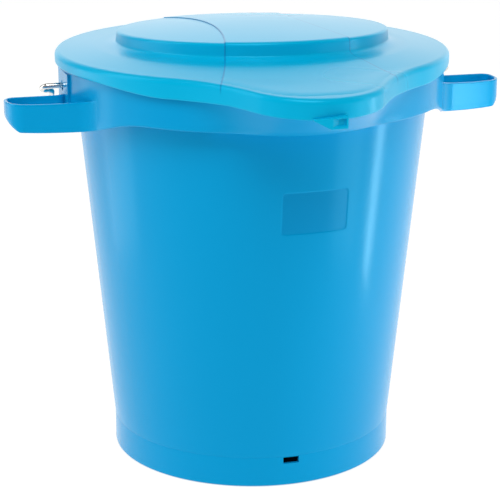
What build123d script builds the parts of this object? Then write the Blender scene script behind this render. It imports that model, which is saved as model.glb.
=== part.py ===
from build123d import *
import os
from math import acos, atan, atan2, cos, degrees, pi, radians, sin, sqrt, tan

# Lidded wash bucket with a pouring spout, two side loops and a steel bail.
# Frame: origin at the centre of the foot ring's bottom face, +Z up, spout
# towards -Y, side loops and bail pivots along X. Millimetres.

# ---------------------------------------------------------------- bucket body
WALL = 3.0                 # wall of the moulding
FOOT_RADIUS = 129.0        # outside of the foot ring
FOOT_HEIGHT = 27.0         # the tapered wall starts here
WALL_SLOPE = 0.0955        # outward lean of the wall per mm of height
FLOOR_THICKNESS = 3.5
RIM_TOP = 360.0
FLANGE_THICKNESS = 3.0

# ------------------------------------------------------------- rim and spout
SKIRT_RADIUS = 172.0       # outside of the turned-down rim
SKIRT_BOTTOM = 328.0
SPOUT_LOW = (98.0, 87.0, 60.0)     # tip centre distance, tip radius, flank radius
SPOUT_HIGH = (158.0, 64.5, 220.0)
SPOUT_HALF_ANGLE = 28.0    # the pouring pocket spans this much each side

# --------------------------------------------------------------- side loops
LOOP_TIP = 226.5           # outer end of a loop
LOOP_FRONT = 41.0          # front band, ahead of the axis, at the tip
LOOP_FRONT_ROOT = (140.0, 71.0)    # the front band's line starts here, inside the rim
LOOP_REAR = 9.0            # rear band, ahead of the axis
LOOP_BAND = 2.8            # thickness of the band
LOOP_BOTTOM = 313.0
LOOP_TOP = 337.5
LOOP_ROOT_TOP = 346.5      # the band's top climbs to this at its front root
LOOP_FRONT_CORNER = 26.0
LOOP_REAR_CORNER = 10.0
LOOP_ROOT_FILLET = 28.0
LOOP_REAR_ROOT = 10.0
LOOP_FOOT = 217.0          # outer end of a loop at its lower edge

# ------------------------------------------------------- lugs and bail wire
LUG_FACE = 172.4           # flat outer face of a lug
LUG_FRONT = 26.0
LUG_REAR = 20.0
LUG_TOP = 358.0
LUG_THICKNESS = 4.0
PIVOT_HEIGHT = 344.0
LUG_HOLE_RADIUS = 4.5
WIRE_RADIUS = 2.5
BOW_RADIUS = 180.5         # bail's bow, pivot to the wire's centre
HOOK_RADIUS = 5.0          # hook at each end of the wire
HOOK_BEND = 4.5            # bend between the hook and the bow
PIN_END = 165.5            # inner end of the wire, behind the lug
MOVING_GAP = 0.3

# ---------------------------------------------------------------------- lid
LID_RADIUS = 176.0
LID_WALL = 2.4
LID_SPOUT = (163.0, 65.0, 240.0)
LID_SKIRT_BOTTOM = 354.0
LID_SIDE_BOTTOM = 360.6
DECK_EDGE_RADIUS = 170.0   # the deck is level here and falls away outside
DECK_EDGE_TOP = 371.7
DECK_FALL = 0.1            # fall per mm outside that radius
DECK_INNER_RADIUS = 138.5
DECK_INNER = (375.2, 0.0173)       # height on the axis, rise per mm towards the spout
DISC_RADIUS = 121.0        # raised disc, higher towards the spout
DISC_FOOT_RADIUS = 121.8
DISC_FOOT = (378.6, 0.038)
DISC_EDGE_ROUND = 1.9
DISC_TOP = 387.85          # height of the disc's rim on the axis
DISC_RISE = 0.0441         # rise of the rim per mm towards the spout
DISC_CROWN = 6.2           # the disc's top is domed this much above its rim
STRIP_HALF_WIDTH = 41.5    # raised middle strip at its narrowest
STRIP_EDGE_RADIUS = 410.0
STRIP_MIDDLE = -5.0        # where the strip is narrowest
STRIP_RAISE = 0.8
STRIP_MARGIN = 6.0         # the strip stops this far inside the rim
LID_EDGE_ROUND = 4.5
PLUG_RADIUS = 155.4
PLUG_WALL = 2.2
PLUG_BOTTOM = 352.0
SEAT_WIDTH = 2.0           # the plug ring's shoulder that sits over the bucket's rim
TAB_FACE = -233.6          # front face of the pull tab
TAB_BACK = -225.8
TAB_FLUSH = -228.3         # where its thin end dies into the lid's nose
TAB_FRONT_VIEW = [(-15.6, 351.0), (11.2, 353.5), (11.2, 343.3), (-2.6, 343.0), (-15.6, 349.4)]
TAB_SHOULDER = -2.6        # across; the thin end starts here
TAB_HOLLOW = (4.0, 348.2, 10.4, 6.2)   # middle across, middle height, width, height
TAB_HOLLOW_DEPTH = 3.6

# ------------------------------------------------------- slots and label pad
DRAIN_WIDTH = 14.4
DRAIN_HEIGHT = 6.4
DRAIN_BOTTOM = 20.2
PAD_ANGLE = 5.0            # round from the spout line
PAD_WIDTH = 60.0
PAD_HEIGHT = 37.0
PAD_BOTTOM = 236.0
PAD_DEPTH = 0.4


def wall_radius(z):
    """Outside radius of the tapered wall at height z."""
    return FOOT_RADIUS + WALL_SLOPE * (z - FOOT_HEIGHT)


def spout_face(radius, spout, z, inset=0.0):
    """Round outline with a rounded spout towards -Y, joined by hollow flanks."""
    centre, tip, flank = spout
    radius = radius - inset
    tip = tip - inset
    flank = flank + inset
    a = radius + flank
    b = tip + flank
    flank_y = (b * b - a * a - centre * centre) / (2 * centre)
    flank_x = sqrt(a * a - flank_y * flank_y)
    on_round = Vector(flank_x * radius / a, flank_y * radius / a, z)
    towards = Vector(flank_x, flank_y + centre, 0) * (tip / b)
    on_tip = Vector(0, -centre, z) + towards
    flank_centre = Vector(flank_x, flank_y, z)
    middle = (on_round + on_tip) * 0.5 - flank_centre
    on_flank = flank_centre + middle.normalized() * flank

    def flip(v):
        return Vector(-v.X, v.Y, v.Z)

    back = Vector(0, radius, z)
    side = Vector(radius, 0, z)
    nose = Vector(0, -centre - tip, z)
    edges = [
        ThreePointArc(back, side, on_round),
        ThreePointArc(on_round, on_flank, on_tip),
        ThreePointArc(on_tip, nose, flip(on_tip)),
        ThreePointArc(flip(on_tip), flip(on_flank), flip(on_round)),
        ThreePointArc(flip(on_round), flip(side), back),
    ]
    return make_face(Wire(edges))


def spout_loft(radius, low, high, z0, z1, inset=0.0):
    return loft([spout_face(radius, low, z0, inset), spout_face(radius, high, z1, inset)])


def turned(points):
    """Solid of revolution about Z from (radius, height) points."""
    outline = Polyline(*[(r, 0, z) for r, z in points], close=True)
    return revolve(make_face(outline), axis=Axis.Z, revolution_arc=360)


def slab(z0, z1, half=300.0):
    return Pos(0, 0, (z0 + z1) / 2) * Box(2 * half, 2 * half, z1 - z0)


def prism_x(points, half=300.0):
    """Prism along X from (y, z) points."""
    outline = Polyline(*[(-half, y, z) for y, z in points], close=True)
    return extrude(make_face(outline), amount=2 * half, dir=(1, 0, 0))


def ease(a, b, steps=8):
    """Points of a smooth S between two (u, v) points."""
    out = []
    for i in range(steps + 1):
        t = i / steps
        s = t * t * (3 - 2 * t)
        out.append((a[0] + (b[0] - a[0]) * t, a[1] + (b[1] - a[1]) * s))
    return out


def both_sides(shape):
    return [shape, mirror(shape, about=Plane.YZ)]


# ============================================================== bucket moulding
floor_top = FOOT_HEIGHT + FLOOR_THICKNESS
inner_low = wall_radius(floor_top) - WALL
body = turned([
    (FOOT_RADIUS - WALL, 0),
    (FOOT_RADIUS, 0),
    (FOOT_RADIUS, FOOT_HEIGHT - 1.0),
    (FOOT_RADIUS - 0.6, FOOT_HEIGHT - 0.5),
    (FOOT_RADIUS, FOOT_HEIGHT),
    (wall_radius(RIM_TOP), RIM_TOP),
    (wall_radius(RIM_TOP) - WALL, RIM_TOP),
    (wall_radius(floor_top + 9) - WALL, floor_top + 9),
    (inner_low - 3, floor_top + 2.6),
    (inner_low - 9, floor_top),
    (0, floor_top),
    (0, FOOT_HEIGHT),
    (FOOT_RADIUS - WALL, FOOT_HEIGHT),
])
inside = turned([
    (0, 300),
    (wall_radius(300) - WALL, 300),
    (wall_radius(RIM_TOP + 5) - WALL, RIM_TOP + 5),
    (0, RIM_TOP + 5),
])

skirt_full = spout_loft(SKIRT_RADIUS, SPOUT_LOW, SPOUT_HIGH, SKIRT_BOTTOM, RIM_TOP)
skirt_void = spout_loft(SKIRT_RADIUS, SPOUT_LOW, SPOUT_HIGH, SKIRT_BOTTOM, RIM_TOP, WALL)
skirt = skirt_full - skirt_void
flange = (skirt_full & slab(RIM_TOP - FLANGE_THICKNESS, RIM_TOP)) - inside

# The pouring pocket opens from the inside of the wall out to the spout's lip.
reach = 260.0
half_open = reach * tan(radians(SPOUT_HALF_ANGLE))
wedge = extrude(
    make_face(Polyline((0, 0, 0), (half_open, -reach, 0), (-half_open, -reach, 0), close=True)),
    amount=400,
)
pocket_room = (skirt_void & wedge) & slab(SKIRT_BOTTOM + WALL, RIM_TOP)
pocket_floor = ((skirt_void & wedge) & slab(SKIRT_BOTTOM, SKIRT_BOTTOM + WALL)) - inside
core = Pos(0, 0, 180) * Cylinder(wall_radius(SKIRT_BOTTOM) - 1.0, 400)
webs = []
for side in (-1, 1):
    plate = Pos(0, -110, 344) * Box(WALL, 220, 34)
    plate = Rot(0, 0, side * SPOUT_HALF_ANGLE) * plate
    webs.append((plate & skirt_void & slab(SKIRT_BOTTOM, RIM_TOP)) - core)

bucket = body + skirt + flange + pocket_floor
for web in webs:
    bucket = bucket + web
bucket = bucket - pocket_room
bucket = bucket + ((skirt - wedge) & slab(SKIRT_BOTTOM, RIM_TOP))

# Side loops: each band leaves the rim ahead of the axis, runs round the loop
# and comes back to the rim behind its lug.
loop_face = make_face(Polyline(
    (LOOP_FRONT_ROOT[0], -LOOP_FRONT_ROOT[1], 0),
    (LOOP_TIP, -LOOP_FRONT, 0),
    (LOOP_TIP, -LOOP_REAR, 0),
    (140, -LOOP_REAR, 0),
    close=True,
))
round_face = make_face(CenterArc((0, 0, 0), SKIRT_RADIUS, 0, 360))
plan = (round_face + loop_face + mirror(loop_face, about=Plane.YZ)).clean()


def corner_near(shape, x, y):
    return [min(shape.vertices(), key=lambda v: (v.X - x) ** 2 + (v.Y - y) ** 2)]


for side in (-1, 1):
    plan = fillet(corner_near(plan, side * LOOP_TIP, -LOOP_FRONT), LOOP_FRONT_CORNER)
    plan = fillet(corner_near(plan, side * LOOP_TIP, -LOOP_REAR), LOOP_REAR_CORNER)
    plan = fillet(corner_near(plan, side * 158, -66), LOOP_ROOT_FILLET)
    plan = fillet(corner_near(plan, side * SKIRT_RADIUS, -LOOP_REAR), LOOP_REAR_ROOT)
plan_inside = offset(plan, amount=-LOOP_BAND)


def loop_end_profile(inset):
    """Front view of the loops' drafted ends, as a prism along Y."""
    tip = LOOP_TIP - inset
    foot = LOOP_FOOT - inset
    right = [
        (tip, RIM_TOP),
        (tip, LOOP_BOTTOM + 14),
        (tip - 1.2, LOOP_BOTTOM + 8),
        (foot + 4, LOOP_BOTTOM + 2.4),
        (foot, LOOP_BOTTOM),
        (foot - 2, LOOP_BOTTOM - 13),
    ]
    left = [(-x, z) for x, z in reversed(right)]
    outline = Polyline(*[(x, -260, z) for x, z in right + left], close=True)
    return extrude(make_face(outline), amount=520, dir=(0, 1, 0))


low_curve = ease((-118, SKIRT_BOTTOM + 1), (-LOOP_FRONT - 6, LOOP_BOTTOM))
low_curve = low_curve + ease((-LOOP_REAR + 2, LOOP_BOTTOM), (74, SKIRT_BOTTOM + 1))
high_curve = [(74, LOOP_TOP), (-LOOP_FRONT, LOOP_TOP)]
high_curve = high_curve + ease((-LOOP_FRONT - 4, LOOP_TOP), (-90, LOOP_ROOT_TOP), 5)
high_curve = high_curve + [(-118, LOOP_ROOT_TOP)]
band_heights = prism_x(low_curve + high_curve)
loops_outer = extrude(plan, amount=400) & loop_end_profile(0)
loops_inner = extrude(plan_inside, amount=400) & loop_end_profile(LOOP_BAND)
loops = (loops_outer - loops_inner) & band_heights
loops = loops - Cylinder(SKIRT_RADIUS - WALL, 900)
bucket = bucket + loops

# Lugs: flat pads on the rim that carry the bail's hooks.
for lug in both_sides(
    Pos(LUG_FACE - LUG_THICKNESS / 2, (LUG_REAR - LUG_FRONT) / 2, (LOOP_TOP + LUG_TOP) / 2 - 3)
    * Box(LUG_THICKNESS, LUG_FRONT + LUG_REAR, LUG_TOP - LOOP_TOP + 6)
):
    bucket = bucket + lug
bucket = bucket - Pos(0, 0, PIVOT_HEIGHT) * Rot(0, 90, 0) * (
    Cylinder(LUG_HOLE_RADIUS, 2 * LUG_FACE + 8) - Cylinder(LUG_HOLE_RADIUS + 1, 2 * 161)
)

# Drain slots through the foot ring, front and rear.
bucket = bucket - Pos(0, 0, DRAIN_BOTTOM + DRAIN_HEIGHT / 2) * Box(
    DRAIN_WIDTH, 2 * FOOT_RADIUS + 10, DRAIN_HEIGHT
)

# Label pad: a shallow plain recess in the wall.
pad_middle = PAD_BOTTOM + PAD_HEIGHT / 2
pad = RectangleRounded(PAD_WIDTH, PAD_HEIGHT, 4)
pad = Plane(origin=(0, -100, pad_middle), x_dir=(1, 0, 0), z_dir=(0, -1, 0)) * pad
pad = extrude(pad, amount=100, dir=(0, -1, 0))
pad_skin = turned([
    (wall_radius(PAD_BOTTOM - 9) - PAD_DEPTH, PAD_BOTTOM - 9),
    (wall_radius(PAD_BOTTOM - 9) + 9, PAD_BOTTOM - 9),
    (wall_radius(PAD_BOTTOM + PAD_HEIGHT + 9) + 9, PAD_BOTTOM + PAD_HEIGHT + 9),
    (wall_radius(PAD_BOTTOM + PAD_HEIGHT + 9) - PAD_DEPTH, PAD_BOTTOM + PAD_HEIGHT + 9),
])
bucket = bucket - (Rot(0, 0, PAD_ANGLE) * pad & pad_skin)

# ========================================================================= lid


def tilted_circle(radius, height, rise):
    """Disc whose plane climbs towards the spout."""
    return Plane(origin=(0, 0, height), z_dir=(0, rise, 1)) * Circle(radius)


def lid_top(inset=0.0):
    """Everything below the lid's top surface, down to a level well under its skirt."""
    deck = turned([
        (0, 300),
        (245, 300),
        (245, DECK_EDGE_TOP - DECK_FALL * (245 - DECK_EDGE_RADIUS)),
        (DECK_EDGE_RADIUS, DECK_EDGE_TOP),
        (0, DECK_EDGE_TOP),
    ])
    sections = [tilted_circle(DECK_EDGE_RADIUS, DECK_EDGE_TOP, 0)]
    sweep_in = DECK_INNER_RADIUS - DISC_FOOT_RADIUS
    for angle in (90, 66, 44, 22, 0):
        share = 1 - sin(radians(angle))
        height = DECK_INNER[0] + (DISC_FOOT[0] - DECK_INNER[0]) * share
        rise = DECK_INNER[1] + (DISC_FOOT[1] - DECK_INNER[1]) * share
        radius = DECK_INNER_RADIUS - sweep_in * cos(radians(angle)) - inset
        sections.append(tilted_circle(radius, height, rise))
    slope = loft(sections, ruled=True)
    edge = DISC_RADIUS - inset
    round_middle = edge - DISC_EDGE_ROUND
    profile = [(0, -25), (edge, -25)]
    for angle in (0, 22.5, 45, 67.5, 90):
        across = round_middle + DISC_EDGE_ROUND * cos(radians(angle))
        profile.append((across, DISC_EDGE_ROUND * (sin(radians(angle)) - 1)))
    for part in (0.92, 0.82, 0.68, 0.5, 0.3, 0.14, 0):
        profile.append((edge * part, DISC_CROWN * (1 - part * part)))
    lean_back = Rot(-degrees(atan(DISC_RISE)), 0, 0)
    disc = Pos(0, 0, DISC_TOP) * lean_back * turned(profile)
    return deck + slope + disc


def lid_block(top, inset):
    plan_face = spout_face(LID_RADIUS, LID_SPOUT, 340, inset)
    return extrude(plan_face, amount=80, dir=(0, 0, 1)) & top


def round_rim(block, radius):
    """Round the top outer edge of a lid block."""
    rim_edges = []
    for edge in block.edges():
        middle = edge @ 0.5
        box = edge.bounding_box()
        on_top = box.min.Z > DECK_EDGE_TOP - 10 and box.max.Z < DECK_EDGE_TOP - 0.1
        if on_top and sqrt(middle.X ** 2 + middle.Y ** 2) > LID_RADIUS - 1:
            rim_edges.append(edge)
    return fillet(rim_edges, radius)


outer_top = lid_top()
whole = lid_block(outer_top, 0)
strip_far = STRIP_HALF_WIDTH + STRIP_EDGE_RADIUS
strip_cut = Pos(strip_far, STRIP_MIDDLE, 0) * Circle(STRIP_EDGE_RADIUS)
strip_face = Rectangle(4 * STRIP_HALF_WIDTH, 420) - strip_cut - mirror(strip_cut, about=Plane.YZ)
strip = extrude(strip_face, amount=500) & lid_block(Pos(0, 0, STRIP_RAISE) * outer_top, STRIP_MARGIN)
hollow = lid_block(Pos(0, 0, -LID_WALL) * lid_top(LID_WALL), LID_WALL)
lid = round_rim(whole, LID_EDGE_ROUND) + strip - hollow

# The skirt's lower edge: deepest at the spout, shallow at the sides.
side_line = ease((118, LID_SKIRT_BOTTOM), (LID_RADIUS - 3, LID_SIDE_BOTTOM), 6)
lower_line = [(-300, LID_SIDE_BOTTOM)] + [(-x, z) for x, z in reversed(side_line)]
lower_line = lower_line + [(-80, 340), (80, 340)] + side_line + [(300, LID_SIDE_BOTTOM)]
front_view = lower_line + [(300, 420), (-300, 420)]
front_view = Polyline(*[(x, -300, z) for x, z in front_view], close=True)
lid = lid & extrude(make_face(front_view), amount=600, dir=(0, 1, 0))
lid = lid & prism_x([
    (-300, LID_SKIRT_BOTTOM - DECK_FALL * (300 - LID_RADIUS)),
    (-LID_RADIUS, LID_SKIRT_BOTTOM),
    (300, LID_SKIRT_BOTTOM),
    (300, 420),
    (-300, 420),
])

# Plug ring that drops inside the bucket's wall, with a seat on the rim.
plug = turned([
    (PLUG_RADIUS - PLUG_WALL, PLUG_BOTTOM),
    (PLUG_RADIUS - 0.8, PLUG_BOTTOM),
    (PLUG_RADIUS, PLUG_BOTTOM + 2),
    (PLUG_RADIUS, RIM_TOP + MOVING_GAP),
    (PLUG_RADIUS + SEAT_WIDTH, RIM_TOP + MOVING_GAP),
    (PLUG_RADIUS + SEAT_WIDTH, DISC_TOP),
    (PLUG_RADIUS - PLUG_WALL, DISC_TOP),
])
lid = lid + (plug & Pos(0, 0, -LID_WALL / 2) * whole)

# Pull tab on the spout's nose: a wedge that thins out to one side, hollow in front.
tab_right = TAB_FRONT_VIEW[1][0]
tab_left = TAB_FRONT_VIEW[0][0]
tab_plan = Polyline(
    (tab_left, TAB_BACK, 340),
    (tab_left, TAB_FLUSH, 340),
    (TAB_SHOULDER, TAB_FACE, 340),
    (tab_right, TAB_FACE, 340),
    (tab_right, TAB_BACK, 340),
    close=True,
)
tab_front = Polyline(*[(x, -240, z) for x, z in TAB_FRONT_VIEW], close=True)
tab = extrude(make_face(tab_plan), amount=20, dir=(0, 0, 1))
tab = tab & extrude(make_face(tab_front), amount=20, dir=(0, 1, 0))
hollow_x, hollow_z, hollow_width, hollow_height = TAB_HOLLOW
tab = tab - Pos(hollow_x, TAB_FACE, hollow_z) * Box(
    hollow_width, 2 * TAB_HOLLOW_DEPTH, hollow_height
)
lid = lid + tab

# ======================================================================== bail
# The bail rests where its bow comes a hair off the sloping back wall.
wall_at_pivot = wall_radius(PIVOT_HEIGHT)
stand_off = (WIRE_RADIUS + MOVING_GAP) * sqrt(1 + WALL_SLOPE ** 2)
lean = atan(WALL_SLOPE)
drop_angle = lean + acos((wall_at_pivot + stand_off) / (BOW_RADIUS * sqrt(1 + WALL_SLOPE ** 2)))
hook_x = sqrt((BOW_RADIUS + HOOK_BEND) ** 2 - (2 * HOOK_RADIUS + HOOK_BEND) ** 2)


def bail_point(x, u):
    """Point of the wire's centre line: x across, u out from the pivot axis."""
    return Vector(x, u * cos(drop_angle), PIVOT_HEIGHT - u * sin(drop_angle))


def hook_side(side):
    """Centre line from the pin's inner end to the start of the bow."""
    bend_u = 2 * HOOK_RADIUS + HOOK_BEND
    scale = BOW_RADIUS / (BOW_RADIUS + HOOK_BEND)
    meet = (hook_x * scale, bend_u * scale)
    mid_dir = atan2(meet[1] - bend_u, meet[0] - hook_x)
    mid_dir = (mid_dir % (2 * pi) + 1.5 * pi) / 2
    middle = (hook_x + HOOK_BEND * cos(mid_dir), bend_u + HOOK_BEND * sin(mid_dir))
    return [
        Line(bail_point(side * PIN_END, 0), bail_point(side * hook_x, 0)),
        ThreePointArc(
            bail_point(side * hook_x, 0),
            bail_point(side * (hook_x + HOOK_RADIUS), HOOK_RADIUS),
            bail_point(side * hook_x, 2 * HOOK_RADIUS),
        ),
        ThreePointArc(
            bail_point(side * hook_x, 2 * HOOK_RADIUS),
            bail_point(side * middle[0], middle[1]),
            bail_point(side * meet[0], meet[1]),
        ),
    ], meet


right, meet = hook_side(1)
left, _ = hook_side(-1)
bow = ThreePointArc(
    bail_point(meet[0], meet[1]), bail_point(0, BOW_RADIUS), bail_point(-meet[0], meet[1])
)
centre_line = Wire(right + [bow] + left)
section = Plane(origin=bail_point(PIN_END, 0), z_dir=(1, 0, 0)) * Circle(WIRE_RADIUS)
bail = sweep(section, path=centre_line)

# ===================================================================== exports
os.makedirs("parts", exist_ok=True)
export_step(bucket, "parts/bucket.step")
export_step(lid, "parts/lid.step")
export_step(bail, "parts/bail_handle.step")
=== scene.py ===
from math import acos, atan, atan2, cos, degrees, hypot, pi, radians, sin, sqrt

import bmesh
import bpy
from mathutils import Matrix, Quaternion, Vector


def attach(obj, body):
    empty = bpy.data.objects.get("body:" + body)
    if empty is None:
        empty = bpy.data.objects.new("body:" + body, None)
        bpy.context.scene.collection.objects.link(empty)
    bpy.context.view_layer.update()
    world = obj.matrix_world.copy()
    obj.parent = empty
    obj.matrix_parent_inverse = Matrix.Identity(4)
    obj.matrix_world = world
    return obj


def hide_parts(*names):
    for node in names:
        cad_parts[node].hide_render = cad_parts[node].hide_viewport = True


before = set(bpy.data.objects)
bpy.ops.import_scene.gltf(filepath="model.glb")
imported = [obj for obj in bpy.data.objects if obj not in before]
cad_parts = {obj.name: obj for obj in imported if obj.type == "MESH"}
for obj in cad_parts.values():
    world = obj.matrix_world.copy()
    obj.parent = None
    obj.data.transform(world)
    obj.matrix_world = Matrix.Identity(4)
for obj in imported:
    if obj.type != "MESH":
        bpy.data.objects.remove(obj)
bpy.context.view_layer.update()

MM = 0.001

# --------------------------------------------------------------- dimensions, mm
WALL = 3.0
FOOT_RADIUS = 129.0
FOOT_HEIGHT = 27.0
WALL_SLOPE = 0.0955
RIM_TOP = 360.0
SKIRT_RADIUS = 172.0
SKIRT_BOTTOM = 328.0
# A spout's outline: tip centre's distance from the axis, tip radius, flank radius.
SPOUT_LOW = (98.0, 87.0, 60.0)
SPOUT_HIGH = (158.0, 64.5, 220.0)
SPOUT_HALF_ANGLE = 28.0    # degrees
LID_RADIUS = 176.0
LID_SPOUT = (163.0, 65.0, 240.0)
PIVOT_HEIGHT = 344.0
BOW_RADIUS = 180.5
HOOK_RADIUS = 5.0
HOOK_BEND = 4.5
WIRE_RADIUS = 2.5
PIN_END = 165.5


def wall_radius(z):
    return FOOT_RADIUS + WALL_SLOPE * (z - FOOT_HEIGHT)


def lerp(a, b, t):
    return a + (b - a) * t


def smooth(t):
    t = min(1.0, max(0.0, t))
    return t * t * (3 - 2 * t)


def wrapped(angle):
    """The same angle between -pi and pi."""
    return (angle + pi) % (2 * pi) - pi


def outline_radius(phi, radius, spout):
    """Distance from the axis to a round outline with a spout; phi is measured from the spout."""
    centre, tip, flank = spout
    phi = abs(wrapped(phi))
    a = radius + flank
    b = tip + flank
    flank_y = (b * b - a * a - centre * centre) / (2 * centre)
    flank_x = sqrt(a * a - flank_y * flank_y)
    on_round = atan2(flank_x, -flank_y)
    tip_x = flank_x * tip / b
    tip_y = -centre + (flank_y + centre) * tip / b
    on_tip = atan2(tip_x, -tip_y)
    if phi >= on_round:
        return radius
    if phi <= on_tip:
        return centre * cos(phi) + sqrt(tip * tip - (centre * sin(phi)) ** 2)
    along = sin(phi) * flank_x - cos(phi) * flank_y
    return along - sqrt(flank * flank - a * a + along * along)


# ----------------------------------------------------------------- mesh helpers
SHARP_ANGLE = radians(38)
NO_LENGTH = 1e-7           # metres; shorter edges are dissolved
SMALL = 1e-9
TINY = 1e-6                # mm; keeps divisions by a length safe
CAP_ANGLES = (75, 50, 25)  # degrees, rings of a bar's rounded end from its tip inwards
CAP_LENGTH = 0.5           # share of the bar's radius
TUBE_SIDES = 20


def place(phi, r, z):
    return (r * sin(phi), -r * cos(phi), z)


def make_object(name, verts, faces, merge=0.0):
    mesh = bpy.data.meshes.new(name)
    mesh.from_pydata([(x * MM, y * MM, z * MM) for x, y, z in verts], [], faces)
    bm = bmesh.new()
    bm.from_mesh(mesh)
    if merge:
        bmesh.ops.remove_doubles(bm, verts=bm.verts, dist=merge * MM)
    bmesh.ops.dissolve_degenerate(bm, edges=bm.edges, dist=NO_LENGTH)
    bmesh.ops.recalc_face_normals(bm, faces=bm.faces)
    bm.to_mesh(mesh)
    bm.free()
    mesh.shade_smooth()
    mesh.set_sharp_from_angle(angle=SHARP_ANGLE)
    obj = bpy.data.objects.new(name, mesh)
    bpy.context.scene.collection.objects.link(obj)
    weighted = obj.modifiers.new("weighted", "WEIGHTED_NORMAL")
    weighted.keep_sharp = True
    weighted.weight = 60
    return obj


def polar_shell(phis, stations, windows=()):
    """Closed shell from (r, z) stations at each azimuth, with windows through its wall.

    A window is (first phi, last phi, outer row, inner row): it opens the band between row
    and row + 1 on both skins and joins their edges.
    """
    columns = [stations(phi) for phi in phis]
    rows = len(columns[0])
    count = len(phis)
    verts = [place(phi, r, z) for phi, column in zip(phis, columns) for r, z in column]

    def at(i, j):
        return (i % count) * rows + j

    removed = set()
    walls = []
    for first, last, outer, inner in windows:
        inside = [i for i in range(count) if first - SMALL <= phis[i] <= last + SMALL]
        for i in inside[:-1]:
            removed.add((i, outer))
            removed.add((i, inner))
            walls.append((at(i, outer), at(i + 1, outer), at(i + 1, inner + 1), at(i, inner + 1)))
            walls.append((at(i, outer + 1), at(i + 1, outer + 1), at(i + 1, inner), at(i, inner)))
        for i in (inside[0], inside[-1]):
            walls.append((at(i, outer), at(i, outer + 1), at(i, inner), at(i, inner + 1)))
    faces = [
        (at(i, j), at(i + 1, j), at(i + 1, j + 1), at(i, j + 1))
        for i in range(count)
        for j in range(rows - 1)
        if (i, j) not in removed
    ]
    return verts, faces + walls


def ring_faces(count, n):
    """Faces between rings of n points each, closed at the first and the last ring."""
    faces = []
    for i in range(count - 1):
        for k in range(n):
            m = (k + 1) % n
            faces.append((i * n + k, i * n + m, (i + 1) * n + m, (i + 1) * n + k))
    faces.append(tuple(range(n)))
    faces.append(tuple((count - 1) * n + k for k in reversed(range(n))))
    return faces


def tube(points, radius):
    """Round bar along a path, with rounded ends."""
    points = [Vector(p) for p in points]
    tangents = []
    for i in range(len(points)):
        ahead = points[min(i + 1, len(points) - 1)] - points[max(i - 1, 0)]
        tangents.append(ahead.normalized())
    normal = tangents[0].orthogonal().normalized()
    rings = []
    for i, (p, t) in enumerate(zip(points, tangents)):
        normal = (normal - t * normal.dot(t)).normalized()
        rings.append((p, t, normal.copy(), radius))
    first, last = rings[0], rings[-1]
    caps_in = []
    caps_out = []
    for a in CAP_ANGLES:
        shrunk = radius * cos(radians(a))
        push = sin(radians(a))
        before = first[0] - first[1] * radius * CAP_LENGTH * push
        after = last[0] + last[1] * radius * CAP_LENGTH * push
        caps_in.append((before, first[1], first[2], shrunk))
        caps_out.insert(0, (after, last[1], last[2], shrunk))
    rings = caps_in + rings + caps_out
    verts = []
    for p, t, n, r in rings:
        b = t.cross(n)
        for k in range(TUBE_SIDES):
            a = 2 * pi * k / TUBE_SIDES
            verts.append(tuple(p + (n * cos(a) + b * sin(a)) * r))
    return verts, ring_faces(len(rings), TUBE_SIDES)


# ================================================================ bucket body
LOOP_LOW = 313.0
LOOP_HIGH = 337.5
LOOP_ROOT_HIGH = 346.5
MOUTH_FRONT = radians(68.7)
MOUTH_REAR = radians(86.5)
LOW_FRONT_START = -118.0   # y at which the lower edge starts to sink towards the loops
LOW_FRONT_END = -47.0
LOW_REAR_END = 74.0
HIGH_START = -90.0         # y at which the upper edge starts to sink
HIGH_LENGTH = 45.0
JUMP = 0.004               # degrees between the two azimuths of a sudden step
PAD_PHI = radians(5.0)
PAD_HALF_WIDTH = 30.0
PAD_MID = 254.5
PAD_HALF_HEIGHT = 18.5
PAD_CORNER = 4.0
PAD_DEPTH = 0.35
PAD_EDGE = 0.9             # width of the slope round the label pad
SLOT_HALF_WIDTH = 7.2      # drain slot
BASE_TOP = 30.5            # height of the bucket's floor inside
SPOUT_FLOOR = 331.0


def band_low(y):
    """Height of the lower edge of the skirt and loops at y."""
    if y < LOW_FRONT_END:
        t = (y - LOW_FRONT_START) / (LOW_FRONT_END - LOW_FRONT_START)
        return lerp(SKIRT_BOTTOM, LOOP_LOW, smooth(t))
    if y < 0:
        return LOOP_LOW
    return lerp(LOOP_LOW, SKIRT_BOTTOM, smooth(y / LOW_REAR_END))


def band_high(y):
    """Height of the upper edge of the loops at y."""
    return lerp(LOOP_ROOT_HIGH, LOOP_HIGH, smooth((y - HIGH_START) / HIGH_LENGTH))


def skirt_low(phi):
    across = abs(wrapped(phi))
    if MOUTH_FRONT < across < MOUTH_REAR:
        return SKIRT_BOTTOM
    return band_low(-SKIRT_RADIUS * cos(across))


def skirt_radius(phi, z):
    t = (z - SKIRT_BOTTOM) / (RIM_TOP - SKIRT_BOTTOM)
    t = max(0.0, t)
    low = outline_radius(phi, SKIRT_RADIUS, SPOUT_LOW)
    high = outline_radius(phi, SKIRT_RADIUS, SPOUT_HIGH)
    return lerp(low, high, t)


def pad_depth(phi, z):
    """Depth of the label recess at a point of the wall."""
    across = wrapped(phi - PAD_PHI) * wall_radius(z)
    dx = abs(across) - (PAD_HALF_WIDTH - PAD_CORNER)
    dz = abs(z - PAD_MID) - (PAD_HALF_HEIGHT - PAD_CORNER)
    outside = hypot(max(dx, 0), max(dz, 0)) + min(max(dx, dz), 0) - PAD_CORNER
    return PAD_DEPTH * smooth(0.5 - outside / PAD_EDGE)


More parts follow.
